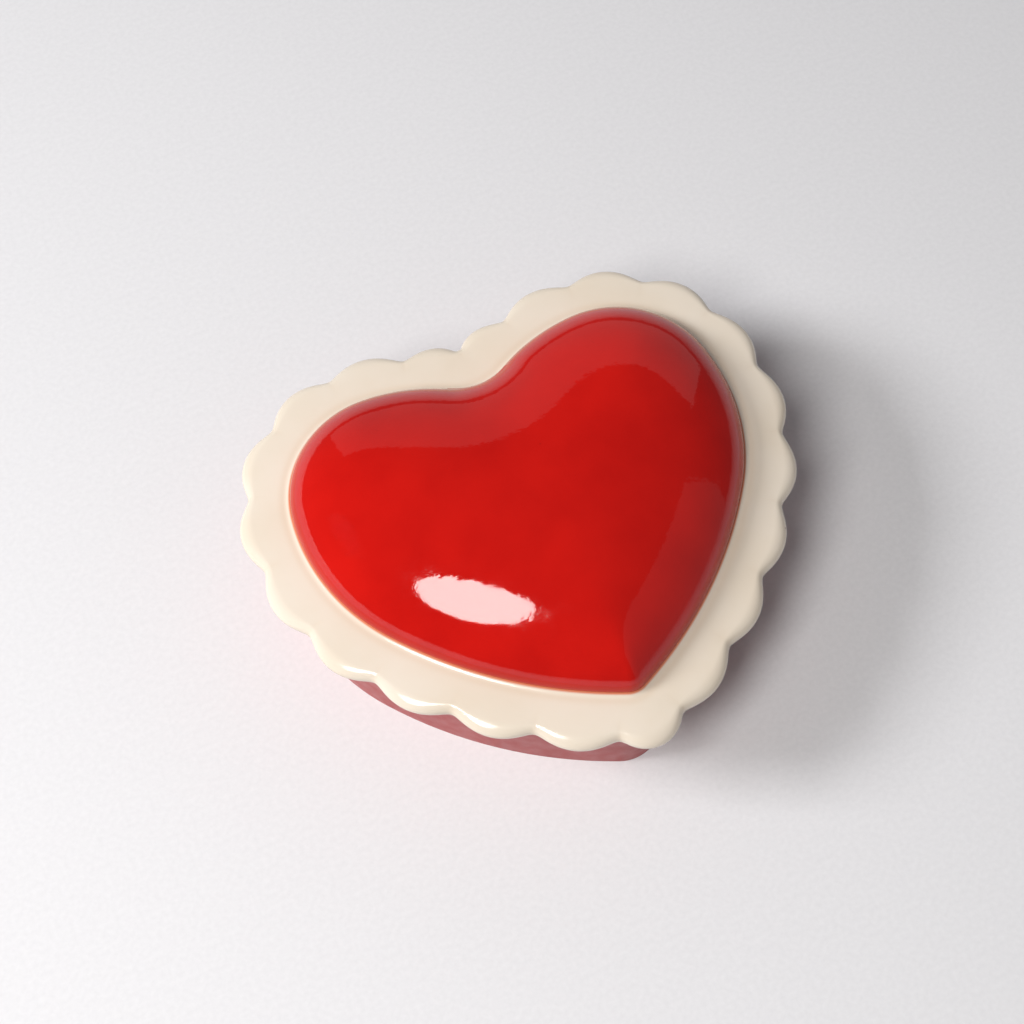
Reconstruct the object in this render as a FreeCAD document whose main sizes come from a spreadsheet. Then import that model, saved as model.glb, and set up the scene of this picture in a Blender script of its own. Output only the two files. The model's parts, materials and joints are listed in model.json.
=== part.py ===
import FreeCAD, Part
import math
import os
import re
import Sketcher
from FreeCAD import Placement, Rotation, Vector

# Wind-up music box: a heart-shaped glazed box with a lift-off lid and a comb movement inside.
# Frame: +Z up, origin on the floor under the middle of the scalloped rim, +Y towards the heart's
# cleft, -Y towards its tip, +X to the right lobe.  Millimetres.

os.makedirs("parts", exist_ok=True)
doc = FreeCAD.newDocument("MusicBox")
sheet = doc.addObject("Spreadsheet::Sheet", "Size")

SIZES = {
    # heart outline: radius of each arc from the tip round to the cleft, and how far it turns (deg)
    "tip_radius": 6.0, "flank_radius": 120.3, "side_radius": 53.8,
    "lobe_radius": 28.3, "shoulder_radius": 50.9, "cleft_radius": 17.8,
    "tip_turn": 24.07, "flank_turn": 29.73, "side_turn": 46.0, "lobe_turn": 82.7,
    # base
    "base_overhang": 5.4, "base_wall": 4.0, "base_height": 33.0, "floor_thick": 3.5,
    # lid
    "rim_thick": 7.0, "scallops_each_side": 10, "tip_scallop": 19.0,
    "cleft_scallop": 16.0, "notch_line": 11.5, "crest_line": 14.4, "cleft_notch": 14.0,
    "notch_round": 2.2, "ring_depth": 3.0, "ring_clear": 0.5,
    "dome_head": 14.5, "dome_wall": 3.8, "dome_side": 2.2, "dome_top": 1.7, "dome_centre": 59.4,
    "lid_gap": 0.05,
    # tray lining
    "felt_thick": 1.0, "felt_gap": 0.4,
    # movement: where it stands, its plate and its clear cover
    "movement_y": 12.0, "plate_thick": 2.0, "plate_side": 2.0, "plate_ahead": 1.0,
    "cover_gap": 2.2, "cover_wall": 1.4, "ear_long": 5.0, "ear_wide": 9.0, "ear_thick": 1.6,
    # gearing
    "gear_module": 0.5, "addendum_ratio": 0.8, "dedendum_ratio": 1.2, "tooth_ratio": 1.04,
    "slope_ratio": 0.24, "tooth_root": 0.2, "mesh_gap": 0.05, "great_teeth": 40, "drum_pinion_teeth": 14,
    "drum_wheel_teeth": 30, "second_pinion_teeth": 12, "worm_wheel_teeth": 18,
    "face_width": 2.2, "wheel_thick": 1.5, "pinion_extra": 0.6,
    # winding side
    "spring_x": -16.0, "arbor_radius": 2.0, "shaft_clear": 0.05, "housing_radius": 12.0,
    "housing_wall": 1.0, "window_edge": 1.5, "cap_thick": 0.7, "great_thick": 0.95, "gap_thin": 0.4,
    "strip_thick": 0.35, "strip_room": 1.225, "strip_turns": 6,
    "ratchet_wall": 1.9, "ratchet_teeth": 16, "ratchet_rise": 0.8, "ratchet_thick": 1.0,
    "ratchet_root": 0.4, "bush_wall": 2.2, "bush_flange": 1.2, "bush_flange_thick": 1.0,
    "key_span": 22.0, "key_tall": 6.4, "key_thick": 1.8, "key_hub_wall": 1.2, "key_low": 1.6,
    "key_waist": 4.48, "key_eye": 1.28, "key_room": 1.0, "hub_step": 0.2,
    # click and its spring, measured from the arbor and from the click's arm
    "click_wide": 1.3, "click_long": 5.4, "click_y": 1.0, "click_pin": 0.6, "click_pin_y": 2.6,
    "click_pin_out": 1.05, "click_pin_proud": 0.6, "click_pad_out": 0.65, "click_pad_long": 1.8,
    "click_pad_wide": 1.6, "blade_thick": 0.25, "blade_long": 4.8, "blade_tall": 0.8, "blade_out": 1.15,
    "blade_y": 2.8, "blade_foot_long": 1.6, "blade_foot_thick": 0.3, "blade_foot_out": 0.55,
    "blade_foot_y": 5.05, "blade_post": 0.5, "blade_post_in": 0.15, "blade_post_y": 4.9,
    "blade_post_proud": 0.4,
    # pinned drum and comb
    "axis_rise": 13.5, "drum_margin": 0.44, "drum_radius": 6.5, "drum_wall": 0.7, "drum_gap": 0.75,
    "pin_radius": 0.2, "pin_out": 0.65, "pins_each": 5, "notes": 18, "note_pitch": 1.04,
    "spindle_radius": 0.8, "arbor_out": 0.5, "comb_gap": 0.15, "comb_thick": 1.0, "comb_slot": 0.24,
    "comb_heel": 5.5, "comb_short": 8.0, "comb_long": 12.0, "comb_root": 0.2, "comb_margin": 1.0,
    "comb_screw_deep": 4.0, "bracket_gap": 1.3, "bracket_thick": 1.2, "bracket_half": 5.0,
    # speed governor
    "wheel_gap": 0.65, "frame_gap": 1.0, "worm_gap": 1.15, "frame_out_gap": 1.25,
    "frame_thick": 1.0, "frame_rise": 6.4, "frame_back": 4.0, "frame_deep": 6.0, "second_out": 0.6,
    "worm_radius": 1.3, "core_ratio": 1.1, "tip_ratio": 0.7, "thread_ratio": 0.8, "worm_spindle": 0.5,
    "worm_turns": 4, "worm_foot": 0.3,
    "fan_radius": 5.4, "fan_tall": 3.0, "fan_thick": 0.4, "fan_hub": 1.6, "fan_clear": 0.7,
    "fan_gap": 1.9, "fan_headroom": 2.5,
    # stop work under the lid
    "lever_arm": 12.0, "plunger_arm": 6.5, "lever_drop": 3.0, "lever_wide": 1.6, "lever_thick": 0.9,
    "lever_end": 1.0, "lever_pin": 0.6, "lever_boss": 0.9, "pin_head": 1.08, "pin_head_thick": 0.5,
    "pin_head_gap": 0.1, "finger_inset": 1.1, "finger_wide": 0.9, "finger_end": 0.6, "brake_gap": 0.15,
    "plunger_radius": 1.0, "button_radius": 2.6, "button_thick": 1.4, "guide_radius": 3.0,
    "guide_tall": 3.0, "guide_flange": 1.0, "guide_flange_thick": 0.8, "post_thick": 1.4,
    "post_wide": 4.0, "post_foot": 8.0, "post_foot_tall": 1.2, "post_above": 2.0,
    # screws
    "screw_radius": 1.2, "head_radius": 2.3, "head_thick": 1.3, "screw_slot": 0.5,
    "mount_inset": 5.0, "mount_screw_y": 17.0, "mount_short": 0.2, "cover_screw_short": 0.5,
    "comb_screw_short": 1.0,
}
for row, (alias, size) in enumerate(SIZES.items(), 1):
    sheet.set(f"A{row}", alias)
    sheet.set(f"B{row}", str(size))
    sheet.setAlias(f"B{row}", alias)
doc.recompute()

ALONG_X = Rotation(Vector(0, 1, 0), 90)
ALONG_Y = Rotation(Vector(1, 0, 0), -90)
UPRIGHT = Rotation()
NODES = {}


# ---------------------------------------------------------------- sheet helpers

def number(expression):
    """The value of an expression written with the sheet's aliases."""
    return float(sheet.evalExpression(str(expression)))


def derive(alias, value):
    """Adds a value worked out from the others to the sheet."""
    place = len(SIZES) + 1
    SIZES[alias] = value
    sheet.set(f"A{place}", alias)
    sheet.set(f"B{place}", f"{value:.6f}")
    sheet.setAlias(f"B{place}", alias)
    doc.recompute()


def bound(expression):
    """The same expression with every alias read from the sheet object."""
    word = re.compile(r"[a-z][a-z_]*")
    return word.sub(lambda m: ("Size." if m.group() in SIZES else "") + m.group(), str(expression))


def bind(thing, prop, expression):
    thing.setExpression(prop, bound(expression))


def stand(thing, x, y, z, turn=UPRIGHT):
    """Places an object: x, y and z are expressions."""
    thing.Placement = Placement(Vector(number(x), number(y), number(z)), turn)
    for name, expression in zip("xyz", (x, y, z)):
        bind(thing, f".Placement.Base.{name}", expression)
    return thing


def node(thing, label):
    thing.Label = label
    NODES[label] = thing
    return thing


# ---------------------------------------------------------------- plain solids

def rod(name, radius, length, x, y, z, turn=UPRIGHT):
    thing = doc.addObject("Part::Cylinder", name)
    bind(thing, "Radius", radius)
    bind(thing, "Height", length)
    return stand(thing, x, y, z, turn)


def block(name, long, deep, tall, x, y, z):
    """A box centred on x and y that stands on z."""
    thing = doc.addObject("Part::Box", name)
    bind(thing, "Length", long)
    bind(thing, "Width", deep)
    bind(thing, "Height", tall)
    return stand(thing, f"({x}) - ({long}) / 2", f"({y}) - ({deep}) / 2", z)


def fuse(name, pieces):
    thing = doc.addObject("Part::MultiFuse", name)
    thing.Shapes = pieces
    thing.Refine = True
    return thing


def cut(name, solid, tools):
    thing = doc.addObject("Part::Cut", name)
    thing.Base = solid
    thing.Tool = tools[0] if len(tools) == 1 else fuse(name + "Tools", tools)
    thing.Refine = True
    return thing


def group(name, pieces):
    thing = doc.addObject("Part::Compound", name)
    thing.Links = pieces
    return thing


def screw(name, length, x, y, head_z, up):
    """A slotted screw: its head's outer face looks up (up = 1) or down (up = -1)."""
    if up > 0:
        head = rod(name + "Head", "head_radius", "head_thick", x, y, head_z)
        shank = rod(name + "Shank", "screw_radius", length, x, y, f"{head_z} - ({length})")
        slot_z = f"{head_z} + head_thick - screw_slot"
    else:
        head = rod(name + "Head", "head_radius", "head_thick", x, y, f"{head_z} - head_thick")
        shank = rod(name + "Shank", "screw_radius", length, x, y, head_z)
        slot_z = f"{head_z} - head_thick"
    slot = block(name + "Slot", "head_radius * 3", "screw_slot", "screw_slot", x, y, slot_z)
    return cut(name, fuse(name + "Blank", [head, shank]), [slot])


# ---------------------------------------------------------------- heart outline

ARCS = ("tip", "flank", "side", "lobe", "shoulder", "cleft")


def heart_turns():
    """Tangent angle at the start of each arc, from the tip up the right side to the cleft."""
    turns = [0.0]
    for arc in ARCS[:4]:
        turns.append(turns[-1] + number(arc + "_turn"))
    sines = [math.sin(math.radians(turn)) for turn in turns]
    radii = [number(arc + "_radius") for arc in ARCS]
    reach = sum(radii[i] * (sines[i + 1] - sines[i]) for i in range(4)) - radii[4] * sines[4]
    turns.append(180 + math.degrees(math.asin(reach / (radii[4] + radii[5]))))
    return turns + [180.0]


def heart_arcs(offset=0.0):
    """(centre, radius, from, to) of each right-hand arc in degrees; the tip arc is centred on 0, 0."""
    turns = heart_turns()
    x = y = 0.0
    arcs = []
    for i, arc in enumerate(ARCS):
        hand = -1 if arc == "cleft" else 1
        radius = number(arc + "_radius")
        if i:
            step = last - hand * radius
            x += step * math.sin(math.radians(turns[i]))
            y -= step * math.cos(math.radians(turns[i]))
        last = hand * radius
        arcs.append(((x, y), radius + hand * offset, turns[i], turns[i + 1], hand))
    return arcs


def heart_station(length, offset):
    """Point and outward direction at a length along the right half of the offset outline."""
    for (x, y), radius, start, end, hand in heart_arcs(offset):
        arc_long = abs(math.radians(end - start)) * radius
        if length <= arc_long or hand < 0:
            turn = math.radians(start) + hand * length / radius
            out = Vector(math.sin(turn), -math.cos(turn), 0)
            return Vector(x, y, 0) + out * (hand * radius), out
        length -= arc_long


def heart_half_length(offset):
    return sum(abs(math.radians(end - start)) * r for _, r, start, end, _ in heart_arcs(offset))


def heart_sketch(sketch, offset="0", scale="1"):
    """Draws the heart, offset outwards and then scaled about dome_centre, and binds it."""
    factor = number(scale)
    shift = number("dome_centre") * (1 - factor)
    arcs = heart_arcs(number(offset))

    def arc(x, y, radius, start, end):
        circle = Part.Circle(Vector(x * factor, y * factor + shift, 0), Vector(0, 0, 1), radius * factor)
        return sketch.addGeometry(Part.ArcOfCircle(circle, math.radians(start), math.radians(end)))

    turns = heart_turns()
    tip = arc(0, 0, arcs[0][1], -90 - turns[1], -90 + turns[1])
    right = [arc(c[0], c[1], r, start - 90, end - 90) for c, r, start, end, _ in arcs[1:5]]
    dip = turns[5] - 180
    cleft = arc(0, arcs[5][0][1], arcs[5][1], 270 - dip, 270 + dip)
    left = [arc(-c[0], c[1], r, 270 - end, 270 - start) for c, r, start, end, _ in arcs[1:5]]

    def add(*words):
        return sketch.addConstraint(Sketcher.Constraint(*words))

    add("Tangent", tip, 2, right[0], 1)
    add("Tangent", left[0], 2, tip, 1)
    for side in range(3):
        add("Tangent", right[side], 2, right[side + 1], 1)
        add("Tangent", left[side + 1], 2, left[side], 1)
    add("Tangent", right[3], 2, cleft, 2)
    add("Tangent", cleft, 1, left[3], 1)

    def radius(which, name, sign):
        place = add("Radius", which, (number(name + "_radius") + sign * number(offset)) * factor)
        value = f"({name}_radius + {sign} * ({offset})) * ({scale})"
        bind(sketch, f".Constraints[{place}]", value)

    def turning(which, name, times):
        place = add("Angle", which, math.radians(times * number(name + "_turn")))
        bind(sketch, f".Constraints[{place}]", f"{times} * {name}_turn * 1 deg")

    radius(tip, "tip", 1)
    radius(cleft, "cleft", -1)
    for side, name in enumerate(ARCS[1:5]):
        radius(right[side], name, 1)
        radius(left[side], name, 1)
        if name != "shoulder":
            turning(right[side], name, 1)
            turning(left[side], name, 1)
    turning(tip, "tip", 2)
    add("PointOnObject", tip, 3, -2)
    add("PointOnObject", cleft, 3, -2)
    if factor == 1:
        add("PointOnObject", tip, 3, -1)
    else:
        place = add("DistanceY", -1, 1, tip, 3, shift)
        bind(sketch, f".Constraints[{place}]", f"dome_centre * (1 - ({scale}))")
    return sketch


def heart_extrusion(name, offset, scale, low, tall):
    """A heart-shaped prism in the heart's own frame."""
    sketch = heart_sketch(doc.addObject("Sketcher::SketchObject", name + "Outline"), offset, scale)
    stand(sketch, "0", "0", low)
    prism = doc.addObject("Part::Extrusion", name)
    prism.Base = sketch
    prism.DirMode = "Custom"
    prism.Dir = Vector(0, 0, 1)
    prism.Solid = True
    bind(prism, "LengthFwd", tall)
    return prism


def origin_part(body, role):
    return [part for part in body.Origin.OriginFeatures if part.Role == role][0]


def body_sketch(body, name, lift="0"):
    sketch = body.newObject("Sketcher::SketchObject", name)
    sketch.AttachmentSupport = [(origin_part(body, "XY_Plane"), "")]
    sketch.MapMode = "FlatFace"
    bind(sketch, ".AttachmentOffset.Base.z", lift)
    return sketch


def pad(body, sketch, length):
    feature = body.newObject("PartDesign::Pad", sketch.Name + "Pad")
    feature.Profile = sketch
    bind(feature, "Length", length)
    body.Tip = feature
    return feature


def pocket(body, sketch, length, upwards=False):
    feature = body.newObject("PartDesign::Pocket", sketch.Name + "Pocket")
    feature.Profile = sketch
    feature.Reversed = upwards
    bind(feature, "Length", length)
    body.Tip = feature
    return feature


def ring_sketch(sketch, circles):
    """Circles as (x, y, radius) expressions."""
    for x, y, radius in circles:
        centre = Vector(number(x), number(y), 0)
        circle = sketch.addGeometry(Part.Circle(centre, Vector(0, 0, 1), number(radius)))
        place = sketch.addConstraint(Sketcher.Constraint("Radius", circle, number(radius)))
        bind(sketch, f".Constraints[{place}]", radius)
        hold_point(sketch, circle, 3, x, y)
    return sketch


def hold_point(sketch, which, point, x, y):
    """Ties a sketch point to its x and y expressions."""
    for axis, line, expression in (("X", -2, x), ("Y", -1, y)):
        if abs(number(expression)) < 1e-9:
            sketch.addConstraint(Sketcher.Constraint("PointOnObject", which, point, line))
        else:
            rule = Sketcher.Constraint("Distance" + axis, -1, 1, which, point, number(expression))
            place = sketch.addConstraint(rule)
            bind(sketch, f".Constraints[{place}]", expression)


def polygon_sketch(sketch, points):
    """A closed polygon through points given as (x, y) expressions."""
    spots = [Vector(number(x), number(y), 0) for x, y in points]
    lines = [sketch.addGeometry(Part.LineSegment(a, b)) for a, b in zip(spots, spots[1:] + spots[:1])]
    for line, after in zip(lines, lines[1:] + lines[:1]):
        sketch.addConstraint(Sketcher.Constraint("Coincident", line, 2, after, 1))
    for line, (x, y) in zip(lines, points):
        hold_point(sketch, line, 1, x, y)
    return sketch


# ---------------------------------------------------------------- case: base and lid

def scallop_outline():
    """The rim's edge: one arc from notch to notch, mirrored, closed over the tip."""
    notch_line, crest_line = number("notch_line"), number("crest_line")
    count = int(number("scallops_each_side"))
    half = heart_half_length(notch_line)
    tip_half = number("tip_scallop") / 2
    pitch = (half - tip_half - number("cleft_scallop")) / (count - 1)
    stations = [tip_half + pitch * step for step in range(count)] + [half]
    notches = [heart_station(length, notch_line)[0] for length in stations]
    cleft_centre, cleft_radius = heart_arcs()[-1][:2]
    notches[-1] = Vector(0, cleft_centre[1] - cleft_radius + number("cleft_notch"), 0)
    crests = []
    for a, b in zip(stations, stations[1:]):
        spot, out = heart_station((a + b) / 2, notch_line)
        crests.append(spot + out * (crest_line - notch_line))

    def mirror(spot):
        return Vector(-spot.x, spot.y, 0)

    tip = Vector(0, -number("tip_radius") - crest_line, 0)
    half_round = list(zip(notches, crests, notches[1:]))
    rounds = [(mirror(notches[0]), tip, notches[0])] + half_round
    rounds += [(mirror(b), mirror(crest), mirror(a)) for a, crest, b in half_round[::-1]]
    scallops = [(Part.Arc(*spots).toShape().Curve, spots) for spots in rounds]
    hollows = [notch_hollow(a, b) for a, b in zip(scallops, scallops[1:] + scallops[:1])]
    edges = []
    for before, (_, crest, _), after in zip(hollows[-1:] + hollows[:-1], rounds, hollows):
        edges.append(Part.Arc(before[2], crest, after[0]).toShape())
        edges.append(Part.Arc(*after).toShape())
    return Part.Wire(edges)


def notch_hollow(one, other):
    """Three points of the small arc that eases the notch between two scallops."""
    one, notch = one[0], one[1][2]
    other = other[0]
    small = number("notch_round")
    near, far = one.Radius + small, other.Radius + small
    line = other.Center - one.Center
    along = (near ** 2 - far ** 2 + line.Length ** 2) / (2 * line.Length)
    across = math.sqrt(near ** 2 - along ** 2)
    unit = line / line.Length
    spots = [one.Center + unit * along + Vector(-unit.y, unit.x, 0) * side * across for side in (1, -1)]
    middle = min(spots, key=lambda spot: (spot - notch).Length)
    first = one.Center + (middle - one.Center) * (one.Radius / near)
    last = other.Center + (middle - other.Center) * (other.Radius / far)
    deep = (first + last) / 2 - middle
    return first, middle + deep * (small / deep.Length), last


def lid_rim():
    scalloped = doc.addObject("Part::Feature", "ScallopedPlate")
    scalloped.Shape = Part.Face(scallop_outline()).extrude(Vector(0, 0, number("rim_thick")))
    stand(scalloped, "0", "0", "base_height")
    ring = heart_extrusion("LocatingRing", "base_overhang - base_wall - ring_clear", "1",
                           "base_height - ring_depth", "ring_depth + rim_thick / 2")
    mouth = heart_extrusion("LidMouth", "0", "dome_inner", "base_height - ring_depth - 1",
                            "ring_depth + rim_thick + 2")
    rim = cut("LidRim", fuse("LidRimBlank", [scalloped, ring]), [mouth])
    return node(stand(rim, "0", "heart_y", "lid_gap"), "lid_rim")


def dome_loft(name, shrink, rise):
    """Hearts stacked so that scale^dome_side + (height/rise)^dome_top = 1."""
    sections = []
    for place, scale in enumerate((1.0, 0.985, 0.95, 0.88, 0.77, 0.62, 0.44, 0.24, 0.08)):
        sketch = doc.addObject("Sketcher::SketchObject", f"{name}Section{place}")
        heart_sketch(sketch, "0", f"{scale} * ({shrink})")
        height = f"base_height + rim_thick + ({rise}) * (1 - {scale} ^ dome_side) ^ (1 / dome_top)"
        sections.append(stand(sketch, "0", "0", height))
    loft = doc.addObject("Part::Loft", name)
    loft.Sections = sections
    loft.Solid = True
    return loft


def lid_dome():
    outside = dome_loft("DomeOutside", "1", "dome_rise")
    inside = dome_loft("DomeInside", "dome_inner", "dome_rise - dome_wall")
    dome = cut("LidDome", outside, [inside])
    return node(stand(dome, "0", "heart_y", "lid_gap"), "lid_heart_dome")


def base_shell():
    body = doc.addObject("PartDesign::Body", "BaseShell")
    outside = heart_sketch(body_sketch(body, "BaseOutline"), "base_overhang")
    pad(body, outside, "base_height")
    tray = heart_sketch(body_sketch(body, "TrayOutline", "base_height"), "base_overhang - base_wall")
    pocket(body, tray, "base_height - floor_under - floor_thick")
    recess = heart_sketch(body_sketch(body, "RecessOutline"), "base_overhang - base_wall")
    pocket(body, recess, "floor_under", upwards=True)
    holes = [("spring_x", "movement_y - heart_y", "bush_radius")]
    holes += [(x, f"{y} - heart_y", "screw_radius + shaft_clear") for x, y in MOUNT_SCREWS + COVER_SCREWS]
    drilled = ring_sketch(body_sketch(body, "FloorHoles", "floor_under + floor_thick"), holes)
    pocket(body, drilled, "floor_thick")
    return node(stand(body, "0", "heart_y", "0"), "base_shell")


def tray_felt():
    top = "floor_under + floor_thick"
    sheet_solid = heart_extrusion("FeltSheet", "base_overhang - base_wall - felt_gap", "1", top,
                                  "felt_thick")
    hole = block("FeltHole", "2 * (cover_half_x + ear_long + felt_gap)", "cover_deep + 2 * felt_gap",
                 "3 * felt_thick", "0", "cover_y - heart_y", f"{top} - felt_thick")
    felt = cut("TrayFelt", sheet_solid, [hole])
    return node(stand(felt, "0", "heart_y", "0"), "tray_felt")


# ---------------------------------------------------------------- movement: fixed pieces

def bedplate():
    plate = block("BedplateBlank", "2 * plate_half_x", "plate_front + plate_back", "plate_thick",
                  "0", "movement_y + (plate_back - plate_front) / 2", "plate_low")
    holes = [rod(f"BedplateHole{place}", "screw_radius", "plate_thick", x, y, "plate_low")
             for place, (x, y) in enumerate(MOUNT_SCREWS)]
    bush = rod("BedplateBushHole", "bush_radius", "plate_thick", "spring_x", "movement_y", "plate_low")
    return node(cut("Bedplate", plate, holes + [bush]), "bedplate")


def winding_bush():
    collar = rod("BushCollar", "bush_radius + bush_flange", "bush_flange_thick", "spring_x",
                 "movement_y", "floor_under - bush_flange_thick")
    barrel = rod("BushBarrel", "bush_radius", "floor_thick + plate_thick", "spring_x", "movement_y",
                 "floor_under")
    bore = rod("BushBore", "arbor_radius + shaft_clear", "floor_thick + plate_thick + bush_flange_thick",
               "spring_x", "movement_y", "floor_under - bush_flange_thick")
    return node(cut("WindingBush", fuse("BushBlank", [collar, barrel]), [bore]), "winding_bush")


def spring_housing():
    low, y = "plate_top", "movement_y"
    cup = rod("HousingBlank", "housing_radius", "cap_low - plate_top", "spring_x", y, low)
    hollow = rod("HousingHollow", "housing_radius - housing_wall", "cap_low - plate_top",
                 "spring_x", y, "plate_top + housing_wall")
    bore = rod("HousingBore", "arbor_radius + shaft_clear", "2 * housing_wall", "spring_x", y, low)
    window = block("HousingWindow", "housing_radius * 1.2", "2 * housing_wall",
                   "cap_low - plate_top - 2 * window_edge", "spring_x", "movement_y - housing_radius",
                   "plate_top + window_edge")
    return node(cut("SpringHousing", cup, [hollow, bore, window]), "spring_housing")


def housing_cap():
    disc = rod("CapBlank", "housing_radius", "cap_thick", "spring_x", "movement_y", "cap_low")
    bore = rod("CapBore", "arbor_radius + shaft_clear", "cap_thick", "spring_x", "movement_y", "cap_low")
    return node(cut("HousingCap", disc, [bore]), "housing_cap")


def mainspring():
    """A flat strip wound in half turns, each half-turn arc one half pitch larger than the last."""
    pitch, thick = number("strip_pitch"), number("strip_thick")
    inner_start = number("arbor_radius") + pitch
    half_turns = 2 * int(number("strip_turns"))

    def coil(extra):
        edges = []
        for step in range(half_turns):
            hand = 1 if step % 2 == 0 else -1
            radius = inner_start + extra + step * pitch / 2
            middle = -pitch / 4 * hand
            spots = [Vector(middle + hand * radius * math.cos(a), hand * radius * math.sin(a), 0)
                     for a in (0, math.pi / 2, math.pi)]
            edges.append(Part.Arc(*spots).toShape())
        return edges

    inside, outside = coil(0), coil(thick)
    start = Part.LineSegment(inside[0].firstVertex().Point, outside[0].firstVertex().Point).toShape()
    end = Part.LineSegment(inside[-1].lastVertex().Point, outside[-1].lastVertex().Point).toShape()
    loop = Part.Wire(Part.__sortEdges__(inside + outside + [start, end]))
    strip = doc.addObject("Part::Feature", "Mainspring")
    strip.Shape = Part.Face(loop).extrude(Vector(0, 0, number("cap_low - plate_top - 2 * housing_wall")))
    return node(stand(strip, "spring_x", "movement_y", "plate_top + 1.5 * housing_wall"), "mainspring")


def bearing_bracket():
    height = "axis_height + bracket_half - plate_top"
    wall = block("BracketWall", "bracket_thick", "2 * bracket_half", height, "bracket_x", "movement_y",
                 "plate_top")
    foot = block("BracketFoot", "bracket_thick * 2", "2 * bracket_half", "bracket_thick",
                 "bracket_x + bracket_thick / 2", "movement_y", "plate_top")
    bore = rod("BracketBore", "spindle_radius + shaft_clear", "bracket_thick * 2",
               "bracket_x - bracket_thick", "movement_y", "axis_height", ALONG_X)
    return node(cut("BearingBracket", fuse("BracketBlank", [wall, foot]), [bore]), "bearing_bracket")


def comb_block():
    solid = block("CombBlockBlank", "notes * note_pitch + 2 * comb_margin", "comb_heel",
                  "comb_low - plate_top", "drum_mid", "comb_heel_y", "plate_top")
    holes = [rod(f"CombBlockHole{place}", "screw_radius", "comb_screw_deep", x, "comb_heel_y",
                 "comb_low - comb_screw_deep")
             for place, x in enumerate(COMB_SCREW_X)]
    return node(cut("CombBlock", solid, holes), "comb_block")


def comb():
    """Steel comb: the teeth get shorter from the low notes to the high ones."""
    plate = block("CombPlate", "notes * note_pitch", "comb_back - comb_tip", "comb_thick", "drum_mid",
                  "movement_y - (comb_back + comb_tip) / 2", "comb_low")
    cuts = []
    notes = int(number("notes"))
    for note in range(1, notes):
        x = f"drum_mid + ({note} - notes / 2) * note_pitch"
        long = f"comb_long - (comb_long - comb_short) * {note - 1} / (notes - 2)"
        cuts.append(block(f"CombSlot{note}", "comb_slot", f"2 * ({long})", "3 * comb_thick", x,
                          "movement_y - comb_tip", "comb_low - comb_thick"))
    holes = [rod(f"CombHole{place}", "screw_radius", "comb_thick", x, "comb_heel_y", "comb_low")
             for place, x in enumerate(COMB_SCREW_X)]
    return node(cut("Comb", plate, cuts + holes), "comb")


def governor_frame():
    y_back = "movement_y + worm_y + frame_back"
    deep = "worm_y - second_y + frame_back + bracket_half"
    tall = "frame_top - plate_top"
    span = "frame_out_x - frame_in_x + frame_thick"
    mid_x = "(frame_in_x + frame_out_x) / 2"
    tie_y = f"{y_back} - frame_deep / 2"
    inner = block("FrameInner", "frame_thick", "worm_y + frame_back + bracket_half", tall, "frame_in_x",
                  "movement_y + (worm_y + frame_back - bracket_half) / 2", "plate_top")
    outer = block("FrameOuter", "frame_thick", deep, tall, "frame_out_x", f"{y_back} - ({deep}) / 2",
                  "plate_top")
    top = block("FrameTop", span, "frame_deep", "frame_thick", mid_x, tie_y, "frame_top - frame_thick")
    bottom = block("FrameBottom", span, "frame_deep", "frame_thick", mid_x, tie_y, "plate_top")
    long_bore = "spindle_radius + shaft_clear"
    bores = [
        rod("FrameDrumBore", long_bore, "4 * frame_thick", "frame_in_x - 2 * frame_thick", "movement_y",
            "axis_height", ALONG_X),
        rod("FrameSecondBore", long_bore, f"{span} + 4 * frame_thick", "frame_in_x - 2 * frame_thick",
            "movement_y + second_y", "axis_height", ALONG_X),
        rod("FrameWormBore", "worm_spindle + shaft_clear", "axis_height", "worm_x",
            "movement_y + worm_y", "plate_top - 1"),
    ]
    frame = fuse("FrameBlank", [inner, outer, top, bottom])
    return node(cut("GovernorFrame", frame, bores), "governor_frame")


def movement_cover():
    low = "floor_under + floor_thick"
    outside = block("CoverBlank", "2 * cover_half_x", "cover_deep", f"cover_top - ({low})", "0",
                    "cover_y", low)
    ears = [block(f"CoverEar{side}", "2 * ear_long", "ear_wide", "ear_thick", x, "cover_y", low)
            for side, x in enumerate(("-cover_half_x", "cover_half_x"))]
    hollow = block("CoverHollow", "2 * (cover_half_x - cover_wall)", "cover_deep - 2 * cover_wall",
                   f"cover_top - cover_wall - ({low})", "0", "cover_y", low)
    holes = [rod(f"CoverHole{place}", "screw_radius + shaft_clear", "ear_thick", x, y, low)
             for place, (x, y) in enumerate(COVER_SCREWS)]
    bore = rod("CoverBore", "guide_radius", "2 * cover_wall", "plunger_x", "movement_y + worm_y",
               "cover_top - 1.5 * cover_wall")
    cover = cut("MovementCover", fuse("CoverShape", [outside] + ears), [hollow, bore] + holes)
    return node(cover, "movement_cover")


def plunger_guide():
    low = "cover_top - cover_wall"
    barrel = rod("GuideBarrel", "guide_radius", "guide_tall", "plunger_x", "movement_y + worm_y", low)
    flange = rod("GuideFlange", "guide_radius + guide_flange", "guide_flange_thick", "plunger_x",
                 "movement_y + worm_y", "cover_top")
    bore = rod("GuideBore", "plunger_radius + shaft_clear", "guide_tall", "plunger_x",
               "movement_y + worm_y", low)
    return node(cut("PlungerGuide", fuse("GuideBlank", [barrel, flange]), [bore]), "plunger_guide")


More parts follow.
